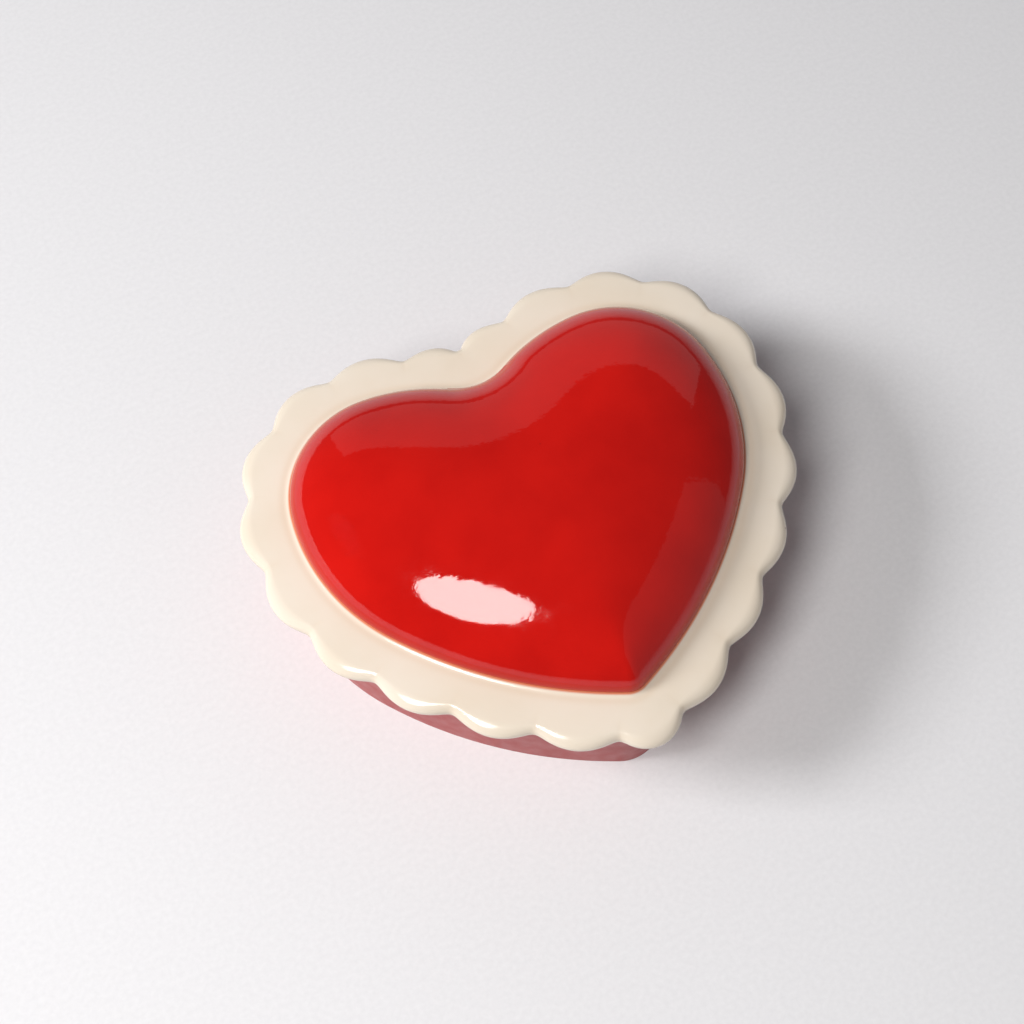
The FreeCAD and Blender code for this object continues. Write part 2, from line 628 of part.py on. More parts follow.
def lever_post():
    """A plate that stands behind the stop lever and carries its pin."""
    y = "movement_y + worm_y + lever_wide / 2 + gap_thin + post_thick / 2"
    wall = block("PostWall", "post_wide", "post_thick", "lever_z + post_above - plate_top", "lever_x", y,
                 "plate_top")
    foot = block("PostFoot", "post_foot", "post_thick", "post_foot_tall", "lever_x", y, "plate_top")
    bore = rod("PostBore", "lever_pin", "post_thick * 2", "lever_x", f"{y} - post_thick", "lever_z",
               ALONG_Y)
    return node(cut("LeverPost", fuse("PostBlank", [wall, foot]), [bore]), "lever_post")


def lever_pin():
    near = "movement_y + worm_y - lever_wide / 2 - pin_head_gap"
    length = "pin_head_gap + lever_wide + gap_thin + post_thick"
    shank = rod("LeverPinShank", "lever_pin", length, "lever_x", near, "lever_z", ALONG_Y)
    head = rod("LeverPinHead", "pin_head", "pin_head_thick", "lever_x", f"{near} - pin_head_thick",
               "lever_z", ALONG_Y)
    return node(fuse("LeverPin", [shank, head]), "lever_pin")


# ---------------------------------------------------------------- movement: wheels

def wheel(name, tooth, count, core, width, bore, tooth_width=None):
    """A disc with a bore and one tooth polygon repeated round it, about its own Z axis."""
    body = doc.addObject("PartDesign::Body", name)
    disc = ring_sketch(body_sketch(body, name + "Disc"), [("0", "0", core), ("0", "0", bore)])
    pad(body, disc, width)
    outline = polygon_sketch(body_sketch(body, name + "Tooth"), tooth)
    first = pad(body, outline, tooth_width or width)
    pattern = body.newObject("PartDesign::PolarPattern", name + "Teeth")
    pattern.Originals = [first]
    pattern.Axis = (origin_part(body, "Z_Axis"), [""])
    pattern.Angle = 360
    bind(pattern, "Occurrences", count)
    body.Tip = pattern
    return body


def gear_tooth(teeth):
    """A narrow straight-sided tooth that points along +X."""
    pitch = f"gear_module * {teeth} / 2"
    root = f"{pitch} - dedendum - tooth_root"
    tip = f"{pitch} + addendum"
    wide = "tooth_thick / 2 + tooth_slope"
    slim = "tooth_thick / 2 - tooth_slope"
    return [(root, f"-({wide})"), (tip, f"-({slim})"), (tip, slim), (root, wide)]


def spur(label, name, teeth, width, bore, x, y, z, turn, phase):
    """A spur gear on an axis along +X, turned by phase degrees about that axis."""
    core = f"gear_module * {teeth} / 2 - dedendum"
    body = wheel(name, gear_tooth(teeth), teeth, core, width, bore)
    stand(body, f"({x}) - ({width}) / 2", y, z, turn * Rotation(Vector(0, 0, 1), phase))
    return node(body, label)


def great_wheel():
    """Face gear: radial ridges on top of a disc that turns freely on the winding arbor."""
    inner = "great_pitch - face_width / 2"
    outer = "great_pitch + face_width / 2"
    half = "tooth_thick / 2"
    ridge = [(inner, f"-({half})"), (outer, f"-({half})"), (outer, half), (inner, half)]
    body = wheel("GreatWheel", ridge, "great_teeth", outer, "great_thick", "arbor_radius + shaft_clear",
                 "great_thick + addendum + dedendum")
    return node(stand(body, "spring_x", "movement_y", "great_low"), "great_wheel")


def ratchet_wheel():
    """Saw teeth on the winding arbor that the click holds against turning back."""
    back_share = 0.8
    step = 2 * math.pi / number("ratchet_teeth") * back_share
    back_x, back_y = math.cos(step), math.sin(step)
    root = "ratchet_radius - ratchet_root"
    tooth = [(root, "0"), ("ratchet_radius + ratchet_rise", "0"),
             (f"ratchet_radius * {back_x:.5f}", f"ratchet_radius * {back_y:.5f}"),
             (f"({root}) * {back_x:.5f}", f"({root}) * {back_y:.5f}")]
    body = wheel("RatchetWheel", tooth, "ratchet_teeth", "ratchet_radius", "ratchet_thick", "arbor_radius")
    return node(stand(body, "spring_x", "movement_y", "ratchet_low"), "ratchet_wheel")


def click():
    """Pawl on the great wheel, held just clear of the ratchet's tips."""
    arm_x = "spring_x - click_x"
    pivot = rod("ClickPivot", "click_pin", "ratchet_thick + click_pin_proud", f"{arm_x} - click_pin_out",
                "movement_y + click_pin_y", "great_low + great_thick")
    arm = block("ClickArm", "click_wide", "click_long", "ratchet_thick", arm_x, "movement_y + click_y",
                "ratchet_low")
    eye = block("ClickEye", "click_pad_long", "click_pad_wide", "ratchet_thick",
                f"{arm_x} - click_pad_out", "movement_y + click_pin_y", "ratchet_low")
    return node(fuse("Click", [pivot, arm, eye]), "ratchet_click")


def click_spring():
    arm_x = "spring_x - click_x"
    post = rod("ClickSpringPost", "blade_post", "ratchet_thick + blade_post_proud",
               f"{arm_x} + blade_post_in", "movement_y - blade_post_y", "great_low + great_thick")
    blade = block("ClickSpringBlade", "blade_thick", "blade_long", "blade_tall", f"{arm_x} - blade_out",
                  "movement_y - blade_y", "ratchet_low")
    foot = block("ClickSpringFoot", "blade_foot_long", "blade_foot_thick", "blade_tall",
                 f"{arm_x} - blade_foot_out", "movement_y - blade_foot_y", "ratchet_low")
    return node(fuse("ClickSpring", [post, blade, foot]), "click_spring")


def winding_arbor():
    top = "ratchet_low + ratchet_thick"
    shaft = rod("ArborShaft", "arbor_radius", f"{top} - key_low - key_tall / 2", "spring_x", "movement_y",
                "key_low + key_tall / 2")
    return node(shaft, "winding_arbor")


def winding_key():
    """Winged key: a flat plate with round ends, pierced, on a hub that takes the arbor."""
    wings = []
    for side in (-1, 1):
        wings.append(rod(f"KeyWing{side + 1}", "key_tall / 2", "key_thick",
                         f"spring_x + {side} * (key_span - key_tall) / 2",
                         "movement_y - key_thick / 2", "key_low + key_tall / 2", ALONG_Y))
    plate = block("KeyPlate", "key_span - key_tall", "key_thick", "key_waist", "spring_x",
                  "movement_y", "key_low + (key_tall - key_waist) / 2")
    hub = rod("KeyHub", "key_hub_radius", "key_tall", "spring_x", "movement_y", "key_low + hub_step")
    holes = [rod(f"KeyEye{side + 1}", "key_eye", "key_thick * 2",
                 f"spring_x + {side} * (key_span - key_tall) / 2", "movement_y - key_thick",
                 "key_low + key_tall / 2", ALONG_Y) for side in (-1, 1)]
    socket = rod("KeySocket", "arbor_radius", "key_tall", "spring_x", "movement_y",
                 "key_low + key_tall / 2")
    return node(cut("WindingKey", fuse("KeyBlank", wings + [plate, hub]), holes + [socket]), "winding_key")


def drum():
    y, z = "movement_y", "axis_height"
    left = "drum_mid - drum_long / 2"
    tube = rod("DrumTube", "drum_radius", "drum_long", left, y, z, ALONG_X)
    hollow = rod("DrumHollow", "drum_radius - drum_wall", "drum_long - 2 * drum_wall",
                 f"{left} + drum_wall", y, z, ALONG_X)
    bore = rod("DrumBore", "spindle_radius", "drum_long", left, y, z, ALONG_X)
    return node(cut("Drum", tube, [hollow, bore]), "pinned_drum")


def drum_pins():
    """Each note's track has its own few pins, spread by a golden-angle step so that no two agree."""
    golden, track_step = 137.508, 47.0
    notes, each = int(number("notes")), int(number("pins_each"))
    out = number("drum_radius + pin_out")
    root = number("drum_radius - drum_wall / 2")
    pins = []
    for note in range(notes):
        x = number("drum_mid") + (note + 0.5 - notes / 2) * number("note_pitch")
        for place in range(each):
            angle = math.radians(place * golden + note * track_step)
            out_way = Vector(0, math.cos(angle), math.sin(angle))
            start = Vector(x, 0, 0) + out_way * root
            pins.append(Part.makeCylinder(number("pin_radius"), out - root, start, out_way))
    group_of_pins = doc.addObject("Part::Feature", "DrumPins")
    group_of_pins.Shape = Part.makeCompound(pins)
    return node(stand(group_of_pins, "0", "movement_y", "axis_height"), "drum_pins")


def drum_arbor():
    start = "spring_x + great_pitch - face_width / 2 - arbor_out"
    shaft = rod("DrumArbor", "spindle_radius", f"frame_in_x + frame_thick - ({start})", start,
                "movement_y", "axis_height", ALONG_X)
    return node(shaft, "drum_arbor")


def second_arbor():
    start = "drum_wheel_x - wheel_thick / 2 - second_out"
    shaft = rod("SecondArbor", "spindle_radius", f"frame_out_x + frame_thick - ({start})", start,
                "movement_y + second_y", "axis_height", ALONG_X)
    return node(shaft, "governor_arbor")


def worm_spindle():
    """Upright spindle with a single-start thread cut for the worm wheel."""
    core, tip = number("worm_core"), number("worm_tip")
    lead = math.pi * number("gear_module")
    turns = int(number("worm_turns"))
    half = number("worm_thread / 2")
    sunk, wide, slim = 0.15, 1.4 * half, 0.8 * half
    helix = Part.makeHelix(lead, lead * turns, core)
    section = Part.makePolygon([Vector(core - sunk, 0, -wide), Vector(tip, 0, -slim), Vector(tip, 0, slim),
                                Vector(core - sunk, 0, wide), Vector(core - sunk, 0, -wide)])
    thread = Part.Wire(helix).makePipeShell([section], True, True)
    thread.translate(Vector(0, 0, -lead * turns / 2))
    # the thread's gap, not its crest, faces the wheel at the wheel's own height
    thread.rotate(Vector(0, 0, 0), Vector(0, 0, 1), 90)
    low = number("plate_top + worm_foot - axis_height")
    high = number("fan_low + fan_tall - axis_height")
    shaft = Part.makeCylinder(number("worm_spindle"), high - low, Vector(0, 0, low))
    body_tall = lead * (turns + 1)
    body = Part.makeCylinder(core, body_tall, Vector(0, 0, -body_tall / 2))
    spindle = doc.addObject("Part::Feature", "WormSpindle")
    spindle.Shape = body.fuse([shaft, thread]).removeSplitter()
    return node(stand(spindle, "worm_x", "movement_y + worm_y", "axis_height"), "worm_spindle")


def fan():
    """Two paddles on a hub that brake against the air."""
    x, y, z = "worm_x", "movement_y + worm_y", "fan_low"
    hub = rod("FanHub", "fan_hub", "fan_tall", x, y, z)
    blade = block("FanBlade", "2 * fan_radius", "fan_thick", "fan_tall", x, y, z)
    bore = rod("FanBore", "worm_spindle", "fan_tall", x, y, z)
    return node(cut("Fan", fuse("FanBlank", [hub, blade]), [bore]), "governor_fan")


# ---------------------------------------------------------------- stop work

def stop_lever():
    """Rocker: the plunger holds its left end down, so its finger stands under the fan's path."""
    y = "movement_y + worm_y"
    left, right = "plunger_x - lever_end", "worm_x - finger_reach + finger_end"
    arm = block("LeverArm", f"({right}) - ({left})", "lever_wide", "lever_thick",
                f"(({right}) + ({left})) / 2", y, "lever_z - lever_thick / 2")
    boss = rod("LeverBoss", "lever_pin + lever_boss", "lever_wide", "lever_x", f"{y} - lever_wide / 2",
               "lever_z", ALONG_Y)
    finger = block("LeverFinger", "finger_wide", "lever_wide", "fan_low - brake_gap - lever_z",
                   "worm_x - finger_reach", y, "lever_z")
    bore = rod("LeverBore", "lever_pin + shaft_clear", "lever_wide", "lever_x", f"{y} - lever_wide / 2",
               "lever_z", ALONG_Y)
    return node(cut("StopLever", fuse("LeverBlank", [arm, boss, finger]), [bore]), "stop_lever")


def dome_underside(x, y, radius):
    """Lowest height of the lid's inner surface over a disc, measured on the inner loft."""
    inside = doc.getObject("DomeInside").Shape
    heights = []
    for turn in range(0, 360, 45):
        spot = Vector(x, y, number("base_height")) + Vector(radius, 0, 0)
        line = Part.makeLine(spot, spot + Vector(0, 0, 2 * number("base_height")))
        line.rotate(Vector(x, y, 0), Vector(0, 0, 1), turn)
        heights.append(inside.common(line).BoundBox.ZMax)
    return min(heights) + number("lid_gap")


def stop_plunger():
    low = "lever_z + lever_thick / 2 + gap_thin / 4"
    y = "movement_y + worm_y"
    stem = rod("PlungerStem", "plunger_radius", f"plunger_top - button_thick - ({low})", "plunger_x", y,
               low)
    button = rod("PlungerButton", "button_radius", "button_thick", "plunger_x", y,
                 "plunger_top - button_thick")
    doc.recompute()
    top_edge = max(range(len(button.Shape.Edges)), key=lambda i: button.Shape.Edges[i].BoundBox.ZMin) + 1
    round_top = doc.addObject("Part::Fillet", "PlungerRound")
    round_top.Base = button
    soft = number("button_thick") / 2
    round_top.Edges = [(top_edge, soft, soft)]
    return node(fuse("StopPlunger", [stem, round_top]), "stop_plunger")


# ---------------------------------------------------------------- build

MOUNT_SCREWS = [("mount_screw_x", "movement_y + mount_screw_y"),
                ("mount_screw_x", "movement_y - mount_screw_y"),
                ("-mount_screw_x", "movement_y - mount_screw_y")]
COVER_SCREWS = [("-cover_half_x - ear_long / 2", "cover_y"), ("cover_half_x + ear_long / 2", "cover_y")]
COMB_SCREW_X = ("drum_mid - notes * note_pitch / 4", "drum_mid + notes * note_pitch / 4")

outline_box = scallop_outline().BoundBox
heart_box = max(c[0] + r for c, r, _, _, _ in heart_arcs()[:3])
derive("heart_y", -(outline_box.YMin + outline_box.YMax) / 2)
derive("dome_inner", 1 - number("dome_wall") / heart_box)

# teeth and the worm's thread, in proportion to the module
derive("addendum", number("addendum_ratio * gear_module"))
derive("dedendum", number("dedendum_ratio * gear_module"))
derive("tooth_thick", number("tooth_ratio * gear_module"))
derive("tooth_slope", number("slope_ratio * gear_module"))
derive("worm_core", number("worm_radius - core_ratio * gear_module"))
derive("worm_tip", number("worm_radius + tip_ratio * gear_module"))
derive("worm_thread", number("thread_ratio * gear_module"))

# heights, from the key in its recess up to the movement's axes
derive("floor_under", number("key_low + key_tall + key_room + bush_flange_thick"))
derive("plate_low", number("floor_under + floor_thick"))
derive("plate_top", number("plate_low + plate_thick"))
derive("axis_height", number("plate_top + axis_rise"))
derive("frame_top", number("axis_height + frame_rise"))
derive("great_pitch", number("gear_module * great_teeth / 2"))
derive("drum_pinion_pitch", number("gear_module * drum_pinion_teeth / 2"))
derive("great_low", number("axis_height - drum_pinion_pitch - mesh_gap - dedendum - great_thick"))
derive("cap_low", number("great_low - gap_thin - cap_thick"))
derive("ratchet_low", number("great_low + great_thick + gap_thin / 2"))
derive("fan_low", number("frame_top + fan_clear"))
derive("lever_z", number("fan_low - lever_drop"))
derive("cover_top", number("fan_low + fan_tall + fan_headroom + cover_wall"))
# the lid's crown clears the cover, whatever part of it the base takes in
derive("dome_rise", number("cover_top - base_height - rim_thick + dome_head"))

# what sits on the winding arbor
derive("bush_radius", number("arbor_radius + bush_wall"))
derive("key_hub_radius", number("arbor_radius + key_hub_wall"))
derive("ratchet_radius", number("arbor_radius + ratchet_wall"))
derive("click_x", number("ratchet_radius + ratchet_rise + gap_thin / 2 + click_wide / 2"))
strip_space = number("housing_radius - housing_wall - strip_room - arbor_radius - strip_thick")
derive("strip_pitch", strip_space / number("strip_turns + 0.75"))

# along X: spring housing and great wheel, bracket, drum, governor
bracket_reach = max(number("great_pitch + face_width / 2 + bracket_gap"),
                    number("housing_radius + gap_thin"))
derive("bracket_x", number("spring_x + bracket_thick / 2") + bracket_reach)
derive("drum_long", number("notes * note_pitch + 2 * drum_margin"))
derive("drum_mid", number("bracket_x + bracket_thick / 2 + drum_gap + drum_long / 2"))
derive("drum_wheel_x", number("drum_mid + drum_long / 2 + wheel_gap + wheel_thick / 2"))
derive("frame_in_x", number("drum_wheel_x + wheel_thick / 2 + frame_gap + frame_thick / 2"))
derive("worm_x", number("frame_in_x + frame_thick / 2 + worm_gap + wheel_thick / 2"))
derive("frame_out_x", number("worm_x + wheel_thick / 2 + frame_out_gap + frame_thick / 2"))
derive("lever_x", number("worm_x - lever_arm"))
derive("plunger_x", number("lever_x - plunger_arm"))
derive("finger_reach", number("fan_radius - finger_inset"))
derive("plate_half_x", number("frame_out_x + plate_side"))
derive("mount_screw_x", number("plate_half_x - mount_inset"))
derive("cover_half_x", number("plate_half_x + cover_gap + cover_wall"))

# along Y: governor behind the drum, comb in front of it
derive("second_y", number("gear_module * (drum_wheel_teeth + second_pinion_teeth) / 2 + mesh_gap"))
derive("worm_y", number("second_y + gear_module * worm_wheel_teeth / 2 + worm_radius + mesh_gap"))
derive("plate_back", number("worm_y + fan_radius + fan_gap - cover_gap"))
derive("comb_low", number("axis_height - comb_thick / 2"))
derive("comb_tip", number("drum_radius + pin_out + comb_gap"))
derive("comb_back", number("comb_tip + comb_long + comb_root + comb_heel"))
derive("comb_heel_y", number("movement_y - comb_back + comb_heel / 2"))
derive("plate_front", number("comb_back + plate_ahead"))
derive("cover_deep", number("plate_front + plate_back + 2 * cover_gap + 2 * cover_wall"))
derive("cover_y", number("movement_y + (plate_back - plate_front) / 2"))

lid_rim()
lid_dome()
doc.recompute()
under_lid = dome_underside(number("plunger_x"), number("movement_y + worm_y - heart_y"),
                           number("button_radius"))
derive("plunger_top", under_lid - number("gap_thin / 2"))
base_shell()
tray_felt()
bedplate()
winding_bush()
spring_housing()
housing_cap()
mainspring()
bearing_bracket()
comb_block()
comb()
governor_frame()
movement_cover()
plunger_guide()
lever_post()
lever_pin()
great_wheel()
ratchet_wheel()
click()
click_spring()
winding_arbor()
winding_key()
drum()
drum_pins()
drum_arbor()
second_arbor()
worm_spindle()
fan()
stop_lever()
stop_plunger()

# the local +X tooth of a wheel on an X axis points down after ALONG_X
TO_BACK = 90.0
spur("drum_pinion", "DrumPinion", "drum_pinion_teeth", "face_width", "spindle_radius",
     "spring_x + great_pitch", "movement_y", "axis_height", ALONG_X, 180 / number("drum_pinion_teeth"))
spur("drum_wheel", "DrumWheel", "drum_wheel_teeth", "wheel_thick", "spindle_radius",
     "drum_wheel_x", "movement_y", "axis_height", ALONG_X, TO_BACK)
spur("governor_pinion", "GovernorPinion", "second_pinion_teeth", "wheel_thick + pinion_extra",
     "spindle_radius", "drum_wheel_x", "movement_y + second_y", "axis_height", ALONG_X,
     -TO_BACK + 180 / number("second_pinion_teeth"))
spur("worm_wheel", "WormWheel", "worm_wheel_teeth", "wheel_thick", "spindle_radius",
     "worm_x", "movement_y + second_y", "axis_height", ALONG_X, TO_BACK)

mount_length = "floor_thick + plate_thick - mount_short"
node(group("MovementScrews", [screw(f"MovementScrew{i}", mount_length, x, y, "floor_under", -1)
                              for i, (x, y) in enumerate(MOUNT_SCREWS)]), "movement_screws")
node(group("CoverScrews", [screw(f"CoverScrew{i}", "ear_thick + floor_thick - cover_screw_short", x, y,
                                 "plate_low + ear_thick", 1)
                           for i, (x, y) in enumerate(COVER_SCREWS)]), "cover_screws")
node(group("CombScrews", [screw(f"CombScrew{i}", "comb_thick + comb_screw_deep - comb_screw_short",
                                x, "comb_heel_y", "comb_low + comb_thick", 1)
                          for i, x in enumerate(COMB_SCREW_X)]), "comb_screws")

doc.recompute()
broken = [thing.Label for thing in doc.Objects if "Invalid" in thing.State or "Error" in thing.State]
if broken:
    raise RuntimeError(f"features failed: {broken}")
for label, thing in NODES.items():
    if thing.Shape.isNull() or not thing.Shape.isValid():
        raise RuntimeError(f"{label} has no valid shape")
for label, thing in NODES.items():
    thing.Shape.exportStep(f"parts/{label}.step")
    box = thing.Shape.BoundBox
    print(f"{label:18s} solids {len(thing.Shape.Solids):3d} volume {thing.Shape.Volume:10.1f}"
          f"  x {box.XMin:7.2f} {box.XMax:7.2f}  y {box.YMin:7.2f} {box.YMax:7.2f}"
          f"  z {box.ZMin:6.2f} {box.ZMax:6.2f}")
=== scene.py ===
"""Wind-up music box: glazed heart box, lift-off scalloped lid and comb movement, in metres."""
import json
import math
import bmesh
import bpy
import numpy as np
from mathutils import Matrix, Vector


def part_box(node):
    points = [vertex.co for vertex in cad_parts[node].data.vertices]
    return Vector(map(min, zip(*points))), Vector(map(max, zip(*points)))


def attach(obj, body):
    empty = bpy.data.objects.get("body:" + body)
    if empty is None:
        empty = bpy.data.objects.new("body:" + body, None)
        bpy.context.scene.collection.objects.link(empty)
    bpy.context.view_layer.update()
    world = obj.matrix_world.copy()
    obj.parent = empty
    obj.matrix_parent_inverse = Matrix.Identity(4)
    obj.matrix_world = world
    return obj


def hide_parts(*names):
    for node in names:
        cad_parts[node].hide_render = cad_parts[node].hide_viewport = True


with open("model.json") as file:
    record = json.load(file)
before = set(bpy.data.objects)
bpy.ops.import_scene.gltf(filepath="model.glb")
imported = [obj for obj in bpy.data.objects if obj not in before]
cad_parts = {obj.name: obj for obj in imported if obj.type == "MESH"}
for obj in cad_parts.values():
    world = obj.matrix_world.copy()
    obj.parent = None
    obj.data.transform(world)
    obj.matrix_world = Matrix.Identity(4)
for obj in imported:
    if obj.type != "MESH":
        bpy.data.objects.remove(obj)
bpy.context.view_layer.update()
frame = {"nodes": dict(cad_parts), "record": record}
MM = 0.001

# heart outline, millimetres and degrees, tip to cleft: (arc radius, how far it turns)
TIP_ARC, FLANK_ARC, SIDE_ARC, LOBE_ARC = (6.0, 24.07), (120.3, 29.73), (53.8, 46.0), (28.3, 82.7)
SHOULDER_RADIUS, CLEFT_RADIUS = 50.9, 17.8
NOTCH_LINE, CREST_LINE, CLEFT_NOTCH = 11.5, 14.4, 14.0
SCALLOPS_EACH_SIDE, TIP_SCALLOP, CLEFT_SCALLOP = 10, 19.0, 16.0
RING_GAP = 0.5
DOME_CENTRE = 59.4
DOME_SIDE, DOME_TOP, DOME_WALL = 2.2, 1.7, 3.8
BASE_INSIDE = 1.4
RING_DEPTH, LOWER_ROUND = 3.0, 3.0
RIM_STATIONS, DOME_STATIONS = 1280, 800
WAVES = 6
CAMERA_SPOT, CAMERA_AIM, LENS = (-93.1, -178.3, 476.3), (-6.95, 7.3, 36.5), 65.04
WORLD_STRENGTH = 0.13

rim_low, rim_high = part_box("lid_rim")
dome_low, dome_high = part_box("lid_heart_dome")


# ---------------------------------------------------------------- heart outline

def heart_line(samples=1600):
    """Right half of the heart as arcs from the tip to the cleft: points, outward normals (mm).

    Each arc's centre lies on the last arc's end normal, so tangents meet.  The shoulder and the
    cleft arc close the outline: (shoulder + cleft) * sin(end) equals what the others reached.
    """
    radii = [TIP_ARC[0], FLANK_ARC[0], SIDE_ARC[0], LOBE_ARC[0], SHOULDER_RADIUS, CLEFT_RADIUS]
    turns = np.cumsum([0, TIP_ARC[1], FLANK_ARC[1], SIDE_ARC[1], LOBE_ARC[1]])
    sines = np.sin(np.radians(turns))
    reach = np.dot(radii[:4], np.diff(sines)) - radii[4] * sines[4]
    last = 180 + math.degrees(math.asin(reach / (radii[4] + radii[5])))
    turns = np.radians(np.append(turns, [last, 180]))
    hands = [1, 1, 1, 1, 1, -1]
    lengths = np.abs(np.diff(turns)) * radii
    points, normals = [], []
    centre, before = np.zeros(2), 0.0
    for place, (radius, hand) in enumerate(zip(radii, hands)):
        if place:
            away = np.array([math.sin(turns[place]), -math.cos(turns[place])])
            centre = centre + (before - hand * radius) * away
        before = hand * radius
        count = max(8, int(samples * lengths[place] / lengths.sum()))
        turn = np.linspace(turns[place], turns[place + 1], count, endpoint=False)
        out = np.stack([np.sin(turn), -np.cos(turn)], 1)
        points.append(centre + before * out)
        normals.append(out)
    points.append(centre + before * np.array([[0.0, 1.0]]))
    normals.append(np.array([[0.0, 1.0]]))
    return np.concatenate(points), np.concatenate(normals)


HEART_SHIFT = rim_low[1] / MM + TIP_ARC[0] + CREST_LINE


def ring_of_hearts(count):
    """Evenly spaced stations round the whole outline, tip first, anticlockwise from above.

    Returns points, outward normals, and the place along the notch line from the tip with the
    half length of that line, all in millimetres in the heart's own frame.
    """
    points, normals = heart_line()
    line = points + NOTCH_LINE * normals
    along = np.append(0, np.cumsum(np.linalg.norm(np.diff(line, axis=0), axis=1)))
    half = along[-1]
    place = np.linspace(0, half, count // 2 + 1)
    right = np.stack([np.interp(place, along, points[:, i]) for i in (0, 1)], 1)
    out = np.stack([np.interp(place, along, normals[:, i]) for i in (0, 1)], 1)
    mirror = np.array([-1.0, 1.0])
    spots = np.concatenate([right, (right * mirror)[-2:0:-1]])
    outs = np.concatenate([out, (out * mirror)[-2:0:-1]])
    outs /= np.linalg.norm(outs, axis=1, keepdims=True)
    return spots, outs, np.concatenate([place, place[-2:0:-1]]), half


def scallop_wave(place, half):
    """How far round a scallop each station is: 0 at its crest, 1 at a notch, and its height 0..1."""
    tip_half = TIP_SCALLOP / 2
    pitch = (half - tip_half - CLEFT_SCALLOP) / (SCALLOPS_EACH_SIDE - 1)
    edges = np.concatenate([[-tip_half], tip_half + pitch * np.arange(SCALLOPS_EACH_SIDE), [half]])
    which = np.clip(np.searchsorted(edges, place, side="right") - 1, 0, SCALLOPS_EACH_SIDE)
    across = (place - edges[which]) / (edges[which + 1] - edges[which])
    side = np.abs(2 * across - 1)
    round_notch = 0.32
    swell = np.sqrt((1 - side ** 2) ** 2 + round_notch ** 2) - round_notch
    return side, swell / (math.sqrt(1 + round_notch ** 2) - round_notch)


def wobble(spots, size, seed):
    """Smooth hand-made unevenness, -1..1: a few plane waves summed over x and y (mm)."""
    draw = np.random.default_rng(seed)
    total = np.zeros(spots.shape[:-1])
    for _ in range(WAVES):
        way = draw.normal(size=2)
        way /= np.linalg.norm(way)
        total += np.sin(spots @ way * (2 * math.pi / (size * draw.uniform(0.7, 1.5))) + draw.uniform(0, 6.3))
    return total / WAVES


# ---------------------------------------------------------------- mesh helpers

def shell_mesh(name, grid, pole_rows=(False, False), closed_rows=False, attributes=None):
    """A closed mesh from a grid of rings: rows along a profile, columns round the heart.

    grid is rows x columns x 3 in metres.  A pole row is gathered into one point.
    """
    rows, columns = grid.shape[:2]
    index = np.arange(rows * columns).reshape(rows, columns)
    quads = []
    last = rows if closed_rows else rows - 1
    first_row, end_row = (1 if pole_rows[0] else 0), (last - 1 if pole_rows[1] else last)
    for row in range(first_row, end_row):
        low, high = index[row % rows], index[(row + 1) % rows]
        quads.append(np.stack([low, np.roll(low, -1), np.roll(high, -1), high], 1))
    faces = [tuple(face) for face in np.concatenate(quads).tolist()]
    points = grid.reshape(-1, 3)
    if pole_rows[0]:
        ring, pole = index[1], index[0][0]
        faces += [(int(b), int(a), int(pole)) for a, b in zip(ring, np.roll(ring, -1))]
    if pole_rows[1]:
        ring, pole = index[rows - 2], index[rows - 1][0]
        faces += [(int(a), int(b), int(pole)) for a, b in zip(ring, np.roll(ring, -1))]
    mesh = bpy.data.meshes.new(name)
    mesh.from_pydata(points.tolist(), [], faces)
    for key, values in (attributes or {}).items():
        layer = mesh.attributes.new(key, "FLOAT", "POINT")
        layer.data.foreach_set("value", np.ascontiguousarray(values.reshape(-1), dtype=np.float32))
    shape = bmesh.new()
    shape.from_mesh(mesh)
    loose = [vert for vert in shape.verts if not vert.link_faces]
    bmesh.ops.delete(shape, geom=loose, context="VERTS")
    bmesh.ops.recalc_face_normals(shape, faces=shape.faces)
    shape.to_mesh(mesh)
    shape.free()
    mesh.polygons.foreach_set("use_smooth", np.ones(len(mesh.polygons), dtype=bool))
    thing = bpy.data.objects.new(name, mesh)
    bpy.context.scene.collection.objects.link(thing)
    return thing


def heart_grid(spots, outs, offsets, heights):
    """Rows of the outline pushed out by offsets (rows x columns, mm) at heights (mm)."""
    flat = spots[None] + offsets[..., None] * outs[None]
    grid = np.zeros(flat.shape[:2] + (3,))
    grid[..., :2] = flat
    grid[..., 1] += HEART_SHIFT
    grid[..., 2] = heights
    return grid * MM


def eased_copy(node, name, width, segments=3, angle=42):
    """A merged copy of a CAD node whose sharp edges are rounded, as moulded or tumbled pieces are."""
    source = frame["nodes"][node]
    mesh = source.data.copy()
    shape = bmesh.new()
    shape.from_mesh(mesh)
    bmesh.ops.remove_doubles(shape, verts=shape.verts, dist=1e-6)
    bmesh.ops.dissolve_limit(shape, angle_limit=math.radians(0.5), verts=shape.verts, edges=shape.edges)
    sharp = [edge for edge in shape.edges if len(edge.link_faces) == 2
             and edge.calc_face_angle(0) > math.radians(angle)]
    bmesh.ops.bevel(shape, geom=sharp, offset=width * MM, segments=segments, profile=0.5,
                    affect="EDGES", clamp_overlap=True)
    bmesh.ops.triangulate(shape, faces=[face for face in shape.faces if len(face.verts) > 4])
    shape.to_mesh(mesh)
    shape.free()
    mesh.polygons.foreach_set("use_smooth", np.ones(len(mesh.polygons), dtype=bool))
    thing = bpy.data.objects.new(name, mesh)
    bpy.context.scene.collection.objects.link(thing)
    thing.modifiers.new("weights", "WEIGHTED_NORMAL").keep_sharp = True
    return thing


# ---------------------------------------------------------------- lid

